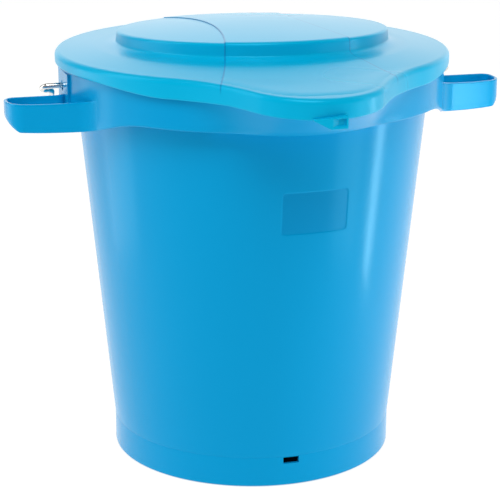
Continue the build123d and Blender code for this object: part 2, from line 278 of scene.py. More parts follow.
# Heights of the rings of points up the outside of the wall, closer at the label's edges.
pad_steps = (-1.2, -0.45, 0.0, 0.45, 1.0, 2.0, 3.0, 4.4)
wall_rows = [28.4, 34, 60, 95, 130, 165, 200, 222]
wall_rows += sorted([PAD_MID - PAD_HALF_HEIGHT + s for s in pad_steps])
wall_rows += [PAD_MID]
wall_rows += sorted([PAD_MID + PAD_HALF_HEIGHT - s for s in pad_steps])
wall_rows += [290, 306, 318, 325.5]

# (r, z) from the middle of the underside, round the foot ring and up to its groove.
foot_rows = [
    (0, 27.0), (60, 27.0), (118, 27.0), (124.2, 27.0), (125.2, 26.4), (125.6, 20.2), (125.8, 1.2),
    (126.6, 0.0), (128.0, 0.0), (128.75, 0.4), (129.0, 1.4), (129.0, 20.2), (129.0, 26.4),
    (128.8, 26.8), (128.8, 27.2), (129.0, 27.7),
]
# Rows between which the drain slot and the lug windows open. The channel between wall
# and skirt has CHANNEL_ROWS rows, and the skirt's outside follows it.
FOOT_SLOT_INNER = 4
FOOT_SLOT_OUTER = 11
LUG_ROW_LOW = 336.5
LUG_ROW_HIGH = 351.5
CHANNEL_START = len(foot_rows) + len(wall_rows)
CHANNEL_ROWS = 8
LUG_INNER = CHANNEL_START + 4
LUG_OUTER = CHANNEL_START + CHANNEL_ROWS + 5


def bucket_stations(phi):
    """(r, z) round the bucket's section: underside, outside, skirt, rim, inside, floor."""
    pouring = abs(wrapped(phi)) < radians(SPOUT_HALF_ANGLE)
    low = skirt_low(phi)
    low_edge = skirt_radius(phi, low)
    rim_edge = skirt_radius(phi, RIM_TOP)
    out = list(foot_rows)
    for z in wall_rows:
        out.append((wall_radius(z) - pad_depth(phi, z), z))

    def skin(z, inset=0.0):
        return (skirt_radius(phi, z) - inset, z)

    if pouring:
        under = SKIRT_BOTTOM
        out += [(wall_radius(under) + 0.2, under - 0.7), (wall_radius(under) + 1.2, under)]
        out += [skin(under, inset) for inset in (5, 4, 3.6, 3.3, 3.0, 2.4)]
    else:
        top = RIM_TOP - WALL
        out += [(wall_radius(top - 1.2), top - 1.2), (wall_radius(top) + 1.0, top)]
        out += [(skirt_radius(phi, top) - WALL - 1.2, top), skin(top - 1.0, WALL)]
        out += [skin(LUG_ROW_HIGH, WALL), skin(LUG_ROW_LOW, WALL)]
        out += [skin(low + 1.0, WALL), (low_edge - WALL + 0.7, low + 0.1)]
    out += [(low_edge - 1.3, low), (low_edge - 0.55, low + 0.2)]
    out += [(low_edge - 0.12, low + 0.75), skin(low + 1.7)]
    out += [skin(333.0), skin(LUG_ROW_LOW), skin(344.0), skin(LUG_ROW_HIGH), skin(358.6)]
    out += [(rim_edge - 0.35, RIM_TOP - 0.5), (rim_edge - 1.2, RIM_TOP)]
    inner = wall_radius(RIM_TOP) - WALL
    if pouring:
        out += [(rim_edge - 2.3, RIM_TOP), (rim_edge - 2.9, RIM_TOP - 0.6)]
        out += [skin(334.0, WALL), (skirt_radius(phi, SPOUT_FLOOR) - WALL - 1.8, SPOUT_FLOOR)]
        out += [(wall_radius(SPOUT_FLOOR) - WALL + 1.4, SPOUT_FLOOR)]
        out += [(wall_radius(330) - WALL + 0.1, 330.0)]
    else:
        out += [(inner + 1.1, RIM_TOP), (inner + 0.2, RIM_TOP - 0.5)]
        out += [(inner - 0.1, RIM_TOP - 1.6), (wall_radius(342) - WALL, 342.0)]
        out += [(wall_radius(332) - WALL, 332.0), (wall_radius(330) - WALL, 330.0)]
    for z in (300, 200, 100, 41):
        out.append((wall_radius(z) - WALL, z))
    base = wall_radius(BASE_TOP) - WALL
    out += [(base - 0.9, 35.5), (base - 3.4, 32.2), (base - 7.5, 30.6)]
    out += [(base - 11, BASE_TOP), (60, BASE_TOP), (0, BASE_TOP)]
    return out


# Azimuths in degrees: fine in front, coarse at the back, and one at each feature's edge.
FRONT_SPAN = 72
FRONT_STEP = 1.0
BACK_STEP = 2.0
bucket_phis = set()
azimuth = -180.0
while azimuth < 180.0 - SMALL:
    bucket_phis.add(round(azimuth, 4))
    azimuth += FRONT_STEP if abs(azimuth) < FRONT_SPAN else BACK_STEP
slot_half = degrees(SLOT_HALF_WIDTH / FOOT_RADIUS)
lug_half = 2.7
for side in (-1, 1):
    for value in (SPOUT_HALF_ANGLE, degrees(MOUTH_FRONT), degrees(MOUTH_REAR)):
        bucket_phis.add(side * value - JUMP)
        bucket_phis.add(side * value + JUMP)
    bucket_phis.add(side * slot_half)
    # The same columns opposite the slot, where the foot ring is closed.
    bucket_phis.add(side * (180 - slot_half))
    for edge in (-1, 1):
        bucket_phis.add(side * 90 + edge * lug_half)
    for s in pad_steps:
        offset = degrees((PAD_HALF_WIDTH - s) / wall_radius(PAD_MID))
        bucket_phis.add(degrees(PAD_PHI) + side * offset)
bucket_phis = sorted(radians(p) for p in bucket_phis)
windows = [
    (radians(-slot_half), radians(slot_half), FOOT_SLOT_OUTER, FOOT_SLOT_INNER),
    (radians(90 - lug_half), radians(90 + lug_half), LUG_OUTER, LUG_INNER),
    (radians(-90 - lug_half), radians(-90 + lug_half), LUG_OUTER, LUG_INNER),
]
verts, faces = polar_shell(bucket_phis, bucket_stations, windows)
bucket = make_object("bucket_moulding", verts, faces, merge=0.002)

# ------------------------------------------------------------------ side loops
LOOP_TIP = 226.5
LOOP_FOOT = 217.0          # how far out the lower edge of a loop reaches
LOOP_DRAFT = 15.0          # height over which the end draws in to it
LOOP_DRAFT_CURVE = 2.6
LOOP_ROOT_X = 140.0
LOOP_FRONT_ROOT = -71.0
LOOP_FRONT = -41.0
LOOP_REAR = 9.0            # rear band, this far ahead of the axis
LOOP_ARC_LEAD = radians(6)
LOOP_STEP = 5.0            # longest stretch between two sections of the band
LOOP_SINK = 0.1            # depth of the loop's roots in the skirt
FRONT_CORNER = 21.0
REAR_CORNER = 10.0
BAND = 2.8
ROOT_RADIUS = 28.0
REAR_ROOT = 10.0
outer_levels = [0.03, 0.09, 0.18, 0.28, 0.4, 0.52, 0.66, 0.8, 0.92]


def arc_points(cx, cy, radius, start, end, step_deg):
    count = max(2, int(abs(degrees(end - start)) / step_deg) + 1)
    angles = [lerp(start, end, i / count) for i in range(count + 1)]
    return [(cx + radius * cos(a), cy + radius * sin(a)) for a in angles]


def round_corner(before, corner, after, radius, step_deg=5.0):
    p, c, n = Vector(before), Vector(corner), Vector(after)
    d1 = (p - c).normalized()
    d2 = (n - c).normalized()
    half = acos(max(-1, min(1, d1.dot(d2)))) / 2
    reach = radius / sin(half)
    centre = c + (d1 + d2).normalized() * reach
    cut = radius / (sin(half) / cos(half))
    start, end = c + d1 * cut - centre, c + d2 * cut - centre
    a0, a1 = atan2(start.y, start.x), atan2(end.y, end.x)
    turn = wrapped(a1 - a0)
    return arc_points(centre.x, centre.y, radius, a0, a0 + turn, step_deg)


def circle_root(point, direction, side, radius, big):
    """Centre of a fillet between the circle of radius big and a line, on the line's given side."""
    d = Vector(direction).normalized()
    n = Vector((-d.y, d.x)) * side
    q = Vector(point) + n * radius
    reach = big + radius
    along = q.dot(d)
    t = -along + sqrt(along * along - q.dot(q) + reach * reach)
    return q + d * t, n


def loop_path():
    """Outer line of one loop in plan, from the front root round to the rear root."""
    front_root, tip_front = (LOOP_ROOT_X, LOOP_FRONT_ROOT), (LOOP_TIP, LOOP_FRONT)
    tip_rear, rear_end = (LOOP_TIP, -LOOP_REAR), (LOOP_ROOT_X, -LOOP_REAR)
    direction = (tip_front[0] - front_root[0], tip_front[1] - front_root[1])
    big = SKIRT_RADIUS - LOOP_SINK
    centre, n = circle_root(front_root, direction, -1, ROOT_RADIUS, big)
    on_circle = atan2(-centre.y, -centre.x)
    on_line = atan2(-n.y, -n.x)
    turn = wrapped(on_line - on_circle)
    start = centre * (big / centre.length)
    lead = atan2(start.y, start.x)
    path = arc_points(0, 0, big, lead - LOOP_ARC_LEAD, lead, 3.0)[:-1]
    path += arc_points(centre.x, centre.y, ROOT_RADIUS, on_circle, on_circle + turn, 4.0)
    path += round_corner(front_root, tip_front, tip_rear, FRONT_CORNER)
    path += round_corner(tip_front, tip_rear, rear_end, REAR_CORNER, 8.0)
    centre, n = circle_root(rear_end, (1.0, 0.0), 1, REAR_ROOT, big)
    on_circle = atan2(-centre.y, -centre.x)
    turn = wrapped(on_circle - (-pi / 2))
    path += arc_points(centre.x, centre.y, REAR_ROOT, -pi / 2, -pi / 2 + turn, 8.0)
    end = centre * (big / centre.length)
    lead = atan2(end.y, end.x)
    path += arc_points(0, 0, big, lead, lead + LOOP_ARC_LEAD, 3.0)[1:]
    cleaned = [path[0]]
    for p in path[1:]:
        if hypot(p[0] - cleaned[-1][0], p[1] - cleaned[-1][1]) > 0.05:
            cleaned.append(p)
    return cleaned


def loop_end(z):
    """How far out the drafted end of a loop reaches at height z."""
    t = max(0.0, (LOOP_LOW + LOOP_DRAFT - z) / LOOP_DRAFT)
    return LOOP_TIP - (LOOP_TIP - LOOP_FOOT) * t ** LOOP_DRAFT_CURVE


def loop_mesh(side):
    """Band of one loop: a rounded section carried along the loop's path."""
    path = loop_path()
    fine = []
    for p, q in zip(path, path[1:]):
        pieces = max(1, int(hypot(q[0] - p[0], q[1] - p[1]) / LOOP_STEP))
        fine += [(lerp(p[0], q[0], k / pieces), lerp(p[1], q[1], k / pieces)) for k in range(pieces)]
    path = fine + [path[-1]]
    rings = []
    for i, (x, y) in enumerate(path):
        a = path[max(i - 1, 0)]
        b = path[min(i + 1, len(path) - 1)]
        t = Vector((b[0] - a[0], b[1] - a[1])).normalized()
        inward = Vector((-t.y, t.x))
        low, high = band_low(y), band_high(y)
        ring = []

        def add(depth, z):
            px = x + inward.x * depth
            py = y + inward.y * depth
            limit = loop_end(z) - depth
            ring.append((side * min(px, limit), py, z))

        add(0.9, low)
        add(0.25, low + 0.3)
        for level in outer_levels:
            add(0.0, lerp(low, high, level))
        add(0.0, high - 1.0)
        add(0.3, high - 0.3)
        add(1.0, high)
        add(BAND - 1.0, high)
        add(BAND - 0.3, high - 0.3)
        add(BAND, high - 1.0)
        for level in reversed(outer_levels):
            add(BAND, lerp(low, high, level))
        add(BAND - 0.25, low + 0.3)
        add(BAND - 0.9, low)
        rings.append(ring)
    verts = [p for ring in rings for p in ring]
    return verts, ring_faces(len(rings), len(rings[0]))


loops = []
for side, name in ((-1, "left_loop"), (1, "right_loop")):
    verts, faces = loop_mesh(side)
    loops.append(make_object(name, verts, faces))

# --------------------------------------------------------------- bail lugs
LUG_FACE = 172.4
LUG_DEPTH = 4.2
LUG_HOLE = 4.5
LUG_FRONT = -26.0
LUG_REAR = 20.0
LUG_BOTTOM = 330.0
LUG_TOP = 357.6
LUG_RAYS = 48              # points round the hole, besides one for each corner of the pad


def lug_mesh(side):
    """Flat pad with a round hole, bevelled on its outer face."""
    # Each pair is how far an edge is drawn in and how far below the face it lies.
    bevel_steps = [(0.0, LUG_DEPTH), (0.0, 0.5), (0.15, 0.15), (0.5, 0.0)]

    def boundary(ray, inset):
        """Where a ray from the pivot leaves the pad."""
        cy, cz = cos(ray), sin(ray)
        reach = []
        if cy > SMALL:
            reach.append((LUG_REAR - inset) / cy)
        if cy < -SMALL:
            reach.append((LUG_FRONT + inset) / cy)
        if cz > SMALL:
            reach.append((LUG_TOP - inset - PIVOT_HEIGHT) / cz)
        if cz < -SMALL:
            reach.append((LUG_BOTTOM + inset - PIVOT_HEIGHT) / cz)
        t = min(reach)
        return (t * cy, PIVOT_HEIGHT + t * cz)

    corners = [atan2(z - PIVOT_HEIGHT, y) for y in (LUG_FRONT, LUG_REAR) for z in (LUG_BOTTOM, LUG_TOP)]
    angles = sorted([2 * pi * k / LUG_RAYS - pi for k in range(LUG_RAYS)] + corners)
    rings = []
    for inset, depth in bevel_steps:
        rings.append([(side * (LUG_FACE - depth), *boundary(a, inset)) for a in angles])
    for inset, depth in reversed(bevel_steps):
        x, radius = side * (LUG_FACE - depth), LUG_HOLE + inset
        rings.append([(x, radius * cos(a), PIVOT_HEIGHT + radius * sin(a)) for a in angles])
    n = len(angles)
    verts = [p for ring in rings for p in ring]
    faces = []
    count = len(rings)
    for i in range(count):
        j = (i + 1) % count
        for k in range(n):
            m = (k + 1) % n
            faces.append((i * n + k, i * n + m, j * n + m, j * n + k))
    return verts, faces


lugs = []
for side, name in ((-1, "left_lug"), (1, "right_lug")):
    verts, faces = lug_mesh(side)
    lugs.append(make_object(name, verts, faces))

# ========================================================================= lid
LID_WALL = 2.4
DISC_RADIUS = 121.0
DISC_EDGE_ROUND = 1.9
DISC_FOOT_RADIUS = 121.8
DISC_FOOT_HEIGHT = 378.6
DISC_FOOT_CLIMB = 0.038    # climb towards the spout, per unit of length
DOME_TOP = 395.2
DOME_RADIUS = 1180.0
DOME_FORWARD = 52.0        # the dome's crest lies this far towards the spout
COVE_END = 138.5
DECK_INNER_HEIGHT = 375.2
DECK_INNER_CLIMB = 0.0173
DECK_EDGE_RADIUS = 170
DECK_EDGE_TOP = 371.7
DECK_EDGE_FALL = 0.1
RIM_ROUND = 4.6            # width of the rounding from the deck to the skirt
RIM_ROUND_DROP = 4.8
LID_SKIRT_LOW = 354.2
LID_SKIRT_SIDE = 360.6
LID_SKIRT_STEP = (112, 60)  # |x| at which the skirt's edge starts to climb, and over what width
LID_NOSE_SINK = 0.095
PLUG_OUTER = 155.4
PLUG_INNER = 153.2
PLUG_BOTTOM = 352.0


def dome(x, y):
    """Height of the raised disc's domed top."""
    return DOME_TOP - (x * x + (y + DOME_FORWARD) ** 2) / (2 * DOME_RADIUS)


def disc_foot(phi):
    """Height of the bottom of the disc's wall: it climbs towards the spout."""
    return DISC_FOOT_HEIGHT + DISC_FOOT_CLIMB * DISC_FOOT_RADIUS * cos(phi)


def deck_inner(phi):
    """Height of the deck where the hollow round the disc ends."""
    return DECK_INNER_HEIGHT + DECK_INNER_CLIMB * COVE_END * cos(phi)


def deck(phi, r):
    """Height of the lid's deck outside the raised disc."""
    if r <= DECK_EDGE_RADIUS:
        return lerp(deck_inner(phi), DECK_EDGE_TOP, (r - COVE_END) / (DECK_EDGE_RADIUS - COVE_END))
    return DECK_EDGE_TOP - DECK_EDGE_FALL * (r - DECK_EDGE_RADIUS)


def lid_edge(phi):
    return outline_radius(phi, LID_RADIUS, LID_SPOUT)


def lid_low(x, y):
    """Height of the lid skirt's lower edge at a point of the outline."""
    start, width = LID_SKIRT_STEP
    if abs(x) >= start:
        return lerp(LID_SKIRT_LOW, LID_SKIRT_SIDE, smooth((abs(x) - start) / width))
    if y >= 0:
        return LID_SKIRT_LOW
    return LID_SKIRT_LOW - max(0.0, -y - LID_RADIUS) * LID_NOSE_SINK


disc_radii = [0.02, 15, 30, 45, 60, 72, 84, 94, 102, 109, 114, 117.0, 118.8]
deck_steps = [0.0, 0.08, 0.18, 0.3, 0.44, 0.58, 0.72, 0.84, 0.93, 1.0]


def top_rows(phi):
    """(r, z) along the lid's top surface from the middle to the start of the rim's rounding."""
    rows = []
    for r in disc_radii:
        x, y, _ = place(phi, r, 0)
        rows.append((r, dome(x, y)))
    x, y, _ = place(phi, DISC_RADIUS, 0)
    edge_top = dome(x, y) - 0.15
    for t in (20, 40, 60, 80):
        r = DISC_RADIUS - DISC_EDGE_ROUND + DISC_EDGE_ROUND * sin(radians(t))
        rows.append((r, edge_top - DISC_EDGE_ROUND + DISC_EDGE_ROUND * cos(radians(t))))
    foot, inner = disc_foot(phi), deck_inner(phi)
    rows += [(DISC_RADIUS + 0.15, edge_top - 2.6), (DISC_RADIUS + 0.7, foot + 0.5)]
    reach = COVE_END - DISC_RADIUS - 0.8
    for t in (6, 16, 28, 42, 58, 74):
        r = COVE_END - reach * cos(radians(t))
        rows.append((r, inner + (foot - inner) * (1 - sin(radians(t)))))
    edge = lid_edge(phi) - RIM_ROUND
    for t in deck_steps:
        r = lerp(COVE_END + 0.8, edge, t)
        rows.append((r, deck(phi, r)))
    return rows


def lid_stations(phi):
    """(r, z) round the lid's section: top, rim, skirt, plug ring, underside."""
    edge = lid_edge(phi)
    x, y, _ = place(phi, edge, 0)
    low = lid_low(x, y)
    out = top_rows(phi)
    inner_edge = edge - RIM_ROUND
    top = deck(phi, inner_edge) - RIM_ROUND_DROP
    for t in (16, 32, 48, 64, 80):
        out.append((inner_edge + RIM_ROUND * sin(radians(t)), top + RIM_ROUND_DROP * cos(radians(t))))
    out += [(edge, top - 0.6), (edge, lerp(top, low, 0.5)), (edge, low + 1.6)]
    out += [(edge - 0.1, low + 0.7), (edge - 0.5, low + 0.15), (edge - 1.2, low)]
    out += [(edge - 2.0, low + 0.1), (edge - LID_WALL, low + 0.8)]
    out += [(edge - LID_WALL, lerp(top, low, 0.5)), (edge - LID_WALL, top - 1.0)]
    out += [(edge - 3.6, top + 1.6), (edge - 5.4, deck(phi, inner_edge) - LID_WALL - 0.1)]
    beside_plug = 158.0
    middle = lerp(beside_plug, edge - 6.0, 0.5)
    under_deck = deck(phi, beside_plug) - LID_WALL
    out += [(middle, deck(phi, middle) - LID_WALL), (beside_plug, under_deck)]
    out += [(155.8, under_deck - 1.5), (PLUG_OUTER, 360.5), (PLUG_OUTER, 354.2), (154.9, 352.6)]
    out += [(154.2, PLUG_BOTTOM), (153.6, 352.2), (PLUG_INNER, 353.0), (PLUG_INNER, 368.5)]
    out += [(152.4, 370.0), (150.0, deck(phi, 150.0) - LID_WALL)]
    foot = disc_foot(phi)
    out += [(COVE_END, deck_inner(phi) - LID_WALL), (130.0, foot - 5.2)]
    out += [(121.0, foot - 2.2), (118.8, foot - 0.5)]
    for r in (118.0, 116.0, 100.0, 50.0, 0.02):
        x, y, _ = place(phi, r, 0)
        drop = LID_WALL + (2.0 if r == 118.0 else 0.0)
        out.append((r, dome(x, y) - drop))
    return out


# Azimuths in degrees: every 2 all round, and every 0.8 on the spout's side.
lid_phis = {round(-180 + i * 2.0, 4) for i in range(180)}
lid_phis |= {round(-80 + i * 0.8, 4) for i in range(201)}
lid_phis = [radians(p) for p in sorted(lid_phis)]
verts, faces = polar_shell(lid_phis, lid_stations)
lid = make_object("lid_moulding", verts, faces, merge=0.03)


def lid_top(x, y):
    """Height and outward slope of the lid's top surface."""
    r = hypot(x, y)
    rows = top_rows(atan2(x, -y))
    for (r0, z0), (r1, z1) in zip(rows, rows[1:]):
        if r <= r1:
            run = max(r1 - r0, TINY)
            t = min(max((r - r0) / run, 0.0), 1.0)
            return lerp(z0, z1, t), (z1 - z0) / run
    return rows[-1][1], -DECK_EDGE_FALL


# The raised middle strip follows the top from the rear edge to the spout's flanks.
STRIP_NARROW = 41.5        # half width at its narrowest
STRIP_MIDDLE = -5.0
STRIP_CURVE = 410.0
STRIP_RAISE = 0.8
STRIP_FRONT = -215.0
STRIP_BACK = 170.0
STRIP_STOP = 4.9           # inset from the lid's outline
STRIP_FADE = 7.0           # the strip sinks into the deck over this length
STRIP_EDGE_DROP = 0.35     # rounding of the strip's edge
STRIP_SUNK = -0.6
STRIP_UNDER = -1.0
STRIP_STRAIGHT_TO = 50     # cross lines are straight up to this far from the axis
STRIP_BEND_OVER = 50       # and are full rings this much further out
STRIP_PASSES = 12          # rounds of settling each point between its line and its ring


def strip_half(y):
    """Half width of the strip at y."""
    d = max(STRIP_FRONT, min(y, STRIP_BACK)) - STRIP_MIDDLE
    return STRIP_NARROW + STRIP_CURVE - sqrt(STRIP_CURVE * STRIP_CURVE - d * d)


def strip_limit(x, y):
    return lid_edge(atan2(x, -y)) - STRIP_STOP


def strip_mesh():
    """Thin sheet on the lid's top; its cross lines bend from straight ones to rings outwards."""
    ring_radii = [r for r, z in top_rows(0.0) if 60 < r < COVE_END]
    front = [8.0 * k for k in range(8)] + ring_radii + [139.3 + 4.0 * k for k in range(25)]
    lines = [-r for r in reversed(front[1:])] + front
    across = [-1.0, -1.0, -0.992] + [k / 10 for k in range(-9, 10)] + [0.992, 1.0, 1.0]
    sheet = []
    for rho in lines:
        size = abs(rho)
        round_share = smooth((size - STRIP_STRAIGHT_TO) / STRIP_BEND_OVER)
        row = []
        for k, v in enumerate(across):
            y = rho
            for _ in range(STRIP_PASSES):
                x = v * strip_half(y)
                if size > 1:
                    y_round = sqrt(max(size * size - x * x, 0.0)) * (1 if rho > 0 else -1)
                else:
                    y_round = rho
                y = lerp(rho, y_round, round_share)
            row.append((v * strip_half(y), y, k))
        sheet.append(row)
    kept = []
    for row in sheet:
        held = []
        middle = row[len(row) // 2]
        for x, y, k in row:
            shrink = min(1.0, strip_limit(x, y) / max(hypot(x, y), TINY))
            held.append((x * shrink, y * shrink, k))
        if hypot(middle[0], middle[1]) < strip_limit(middle[0], middle[1]):
            kept.append(held)
    verts = []
    n = len(across)
    for lift_in, lift_edge in ((STRIP_RAISE, STRIP_SUNK), (STRIP_UNDER, STRIP_UNDER)):
        for i, row in enumerate(kept):
            for x, y, k in row:
                z, slope = lid_top(x, y)
                r = max(hypot(x, y), TINY)
                lean = 1 / sqrt(1 + slope * slope)
                if k in (0, n - 1) or i in (0, len(kept) - 1):
                    lift = lift_edge
                elif k in (1, n - 2) or i in (1, len(kept) - 2):
                    lift = lift_in - STRIP_EDGE_DROP if lift_in > 0 else lift_in
                else:
                    lift = lift_in
                if lift > 0:
                    lift = lerp(STRIP_SUNK, lift, smooth((strip_limit(x, y) - r) / STRIP_FADE))
                out = -slope * lean * lift
                verts.append((x + x / r * out, y + y / r * out, z + lean * lift))
    rows = len(kept)
    faces = []
    for layer in (0, 1):
        base = layer * rows * n
        for i in range(rows - 1):
            for k in range(n - 1):
                near = base + i * n + k
                faces.append((near, near + 1, near + n + 1, near + n))
    far = rows * n
    border = list(range(n)) + [i * n + n - 1 for i in range(1, rows)]
    border += [(rows - 1) * n + k for k in range(n - 2, -1, -1)] + [i * n for i in range(rows - 2, 0, -1)]
    for a, b in zip(border, border[1:] + border[:1]):
        faces.append((a, b, far + b, far + a))
    return verts, faces


verts, faces = strip_mesh()
strip = make_object("lid_strip", verts, faces, merge=0.01)

TAB_FACE = -233.6
TAB_THIN_FACE = -228.3     # face of the tab at its thin end
TAB_ROOT = -225.8
TAB_THIN_X = -15.6
TAB_THICK_X = 11.2
TAB_KNEE_X = -2.6          # where the wedge reaches its full thickness
TAB_EDGE_ROUND = 0.55
HOLLOW_DEPTH = 2.4
hollow_rim = [(-1.4, 351.4), (9.4, 351.8), (9.4, 345.2), (-1.4, 345.0)]
hollow_floor = [(3.6, 350.6), (9.0, 350.9), (9.0, 346.0), (3.6, 345.8)]


def tab_mesh():
    """Pull tab: a wedge that thins out to one side, with a finger hollow in its front."""
    front = [
        (TAB_THIN_X, TAB_THIN_FACE, 351.0),
        (TAB_THICK_X, TAB_FACE, 353.5),
        (TAB_THICK_X, TAB_FACE, 343.3),
        (TAB_KNEE_X, TAB_FACE, 343.0),
        (TAB_THIN_X, TAB_THIN_FACE, 349.4),
    ]
    verts = [(x, TAB_ROOT, z) for x, y, z in front] + front
    faces = [(0, 1, 2, 3, 4)]
    for k in range(5):
        m = (k + 1) % 5
        faces.append((k, m, 5 + m, 5 + k))
    shoulder = len(verts)
    verts.append((TAB_KNEE_X, TAB_FACE, 352.2))
    h = len(verts)
    verts += [(x, TAB_FACE, z) for x, z in hollow_rim]
    verts += [(x, TAB_FACE + HOLLOW_DEPTH, z) for x, z in hollow_floor]
    faces += [(5, shoulder, 8, 9), (5, 6, shoulder)]
    faces += [(shoulder, 6, h + 1, h), (6, 7, h + 2, h + 1), (7, 8, h + 3, h + 2), (8, shoulder, h, h + 3)]
    for k in range(4):
        m = (k + 1) % 4
        faces.append((h + k, h + m, h + 4 + m, h + 4 + k))
    faces.append((h + 4, h + 5, h + 6, h + 7))
    return verts, faces


verts, faces = tab_mesh()
tab = make_object("lid_pull_tab", verts, faces)
bevel = tab.modifiers.new("edge", "BEVEL")
bevel.width = TAB_EDGE_ROUND * MM
bevel.segments = 3
bevel.limit_method = "ANGLE"
bevel.angle_limit = radians(20)
tab.modifiers.move(len(tab.modifiers) - 1, 0)

# ======================================================================== bail
# At rest the bow hangs against the back wall: drop_angle is its angle below level.
BAIL_GAP = 0.3
slant = sqrt(1 + WALL_SLOPE ** 2)
stand_off = (WIRE_RADIUS + BAIL_GAP) * slant
drop_angle = atan(WALL_SLOPE) + acos((wall_radius(PIVOT_HEIGHT) + stand_off) / (BOW_RADIUS * slant))
bend_u = 2 * HOOK_RADIUS + HOOK_BEND
hook_x = sqrt((BOW_RADIUS + HOOK_BEND) ** 2 - bend_u ** 2)
meet_angle = atan2(bend_u, hook_x)


def bail_point(x, u):
    """Point of the bail's plane, u away from the pivot's axis, at rest."""
    return (x, u * cos(drop_angle), PIVOT_HEIGHT - u * sin(drop_angle))


PIN_STEPS = 6
half = [(PIN_END + k * (hook_x - PIN_END) / PIN_STEPS, 0.0) for k in range(PIN_STEPS)]
half += arc_points(hook_x, HOOK_RADIUS, HOOK_RADIUS, -pi / 2, pi / 2, 9.0)
half += arc_points(hook_x, bend_u, HOOK_BEND, -pi / 2, -pi + meet_angle, 9.0)[1:]
half += arc_points(0, 0, BOW_RADIUS, meet_angle, pi / 2, 2.5)[1:]
wire = [bail_point(x, u) for x, u in half] + [bail_point(-x, u) for x, u in reversed(half[:-1])]
verts, faces = tube(wire, WIRE_RADIUS)
bail = make_object("bail_wire", verts, faces)

# =================================================================== materials
LABEL_TONE = (0.0, 0.27, 0.575)
LABEL_SOFT = 0.0007        # metres, half width of the soft edge of the label's tone
LABEL_INSET = 0.4
# Painted shade: a dark line along the small step at each edge of the lid's middle strip.
STRIP_SHADE_TONE = (0.0, 0.2, 0.48)
STRIP_SHADE_STRENGTH = 0.75
STRIP_SHADE_INSET = 0.3
STRIP_SHADE_CORE = 0.0003   # metres from the middle of the line
STRIP_SHADE_END = 0.001
STRIP_SHADE_LOW = 0.362     # metres; the line fades in between these heights
STRIP_SHADE_HIGH = 0.367
PLASTIC_CLOUDS = 5.0
PLASTIC_GLOSS_SPREAD = 0.03
PLASTIC_SPECULAR = 0.4
PLASTIC_SHEEN_TINT = (0.12, 0.75, 1.0, 1)
PLASTIC_IOR = 1.49
STEEL_TONES = (0.66, 0.65, 0.62), (0.78, 0.77, 0.74)
STEEL_ROUGH = 0.16, 0.3
STEEL_CLOUDS = 60.0
STEEL_SCRATCHES = 420.0
NOISE_ROUGHNESS = 0.55


def new_material(name):
    mat = bpy.data.materials.new(name)
    mat.use_nodes = True
    nodes = mat.node_tree.nodes
    nodes.clear()
    out = nodes.new("ShaderNodeOutputMaterial")
    shader = nodes.new("ShaderNodeBsdfPrincipled")
    mat.node_tree.links.new(shader.outputs["BSDF"], out.inputs["Surface"])
    return mat, nodes, mat.node_tree.links, shader


def noise(nodes, links, source, scale, detail):
    tex = nodes.new("ShaderNodeTexNoise")
    tex.inputs["Scale"].default_value = scale
    tex.inputs["Detail"].default_value = detail
    tex.inputs["Roughness"].default_value = NOISE_ROUGHNESS
    links.new(source, tex.inputs["Vector"])
    return tex.outputs["Fac"]


def span(nodes, links, source, low, high, out_low, out_high):
    node = nodes.new("ShaderNodeMapRange")
    node.inputs["From Min"].default_value = low
    node.inputs["From Max"].default_value = high
    node.inputs["To Min"].default_value = out_low
    node.inputs["To Max"].default_value = out_high
    links.new(source, node.inputs["Value"])
    return node.outputs["Result"]


def mix_colour(nodes, links, factor, a, b):
    node = nodes.new("ShaderNodeMix")
    node.data_type = "RGBA"
    links.new(factor, node.inputs["Factor"])
    for socket, value in ((node.inputs[6], a), (node.inputs[7], b)):
        if isinstance(value, tuple):
            socket.default_value = (*value, 1.0)
        else:
            links.new(value, socket)
    return node.outputs[2]


def math_node(nodes, links, operation, a, b=None):
    node = nodes.new("ShaderNodeMath")
    node.operation = operation
    for socket, value in zip(node.inputs, (a, b)):
        if isinstance(value, float):
            socket.default_value = value
        elif value is not None:
            links.new(value, socket)
    return node.outputs["Value"]


def label_tone(nodes, links, where, colour, label):
    """Slightly deeper tone in the label recess, (x0, x1, z0, z1) in metres, spout side only."""
    split = nodes.new("ShaderNodeSeparateXYZ")
    links.new(where, split.inputs[0])
    x0, x1, z0, z1 = label
    soft = LABEL_SOFT
    masks = [
        span(nodes, links, split.outputs["X"], x0 - soft, x0 + soft, 0.0, 1.0),
        span(nodes, links, split.outputs["X"], x1 - soft, x1 + soft, 1.0, 0.0),
        span(nodes, links, split.outputs["Z"], z0 - soft, z0 + soft, 0.0, 1.0),
        span(nodes, links, split.outputs["Z"], z1 - soft, z1 + soft, 1.0, 0.0),
        span(nodes, links, split.outputs["Y"], -0.01, 0.0, 1.0, 0.0),
    ]
    inside = masks[0]
    for mask in masks[1:]:
        inside = math_node(nodes, links, "MULTIPLY", inside, mask)
    return mix_colour(nodes, links, inside, colour, LABEL_TONE)


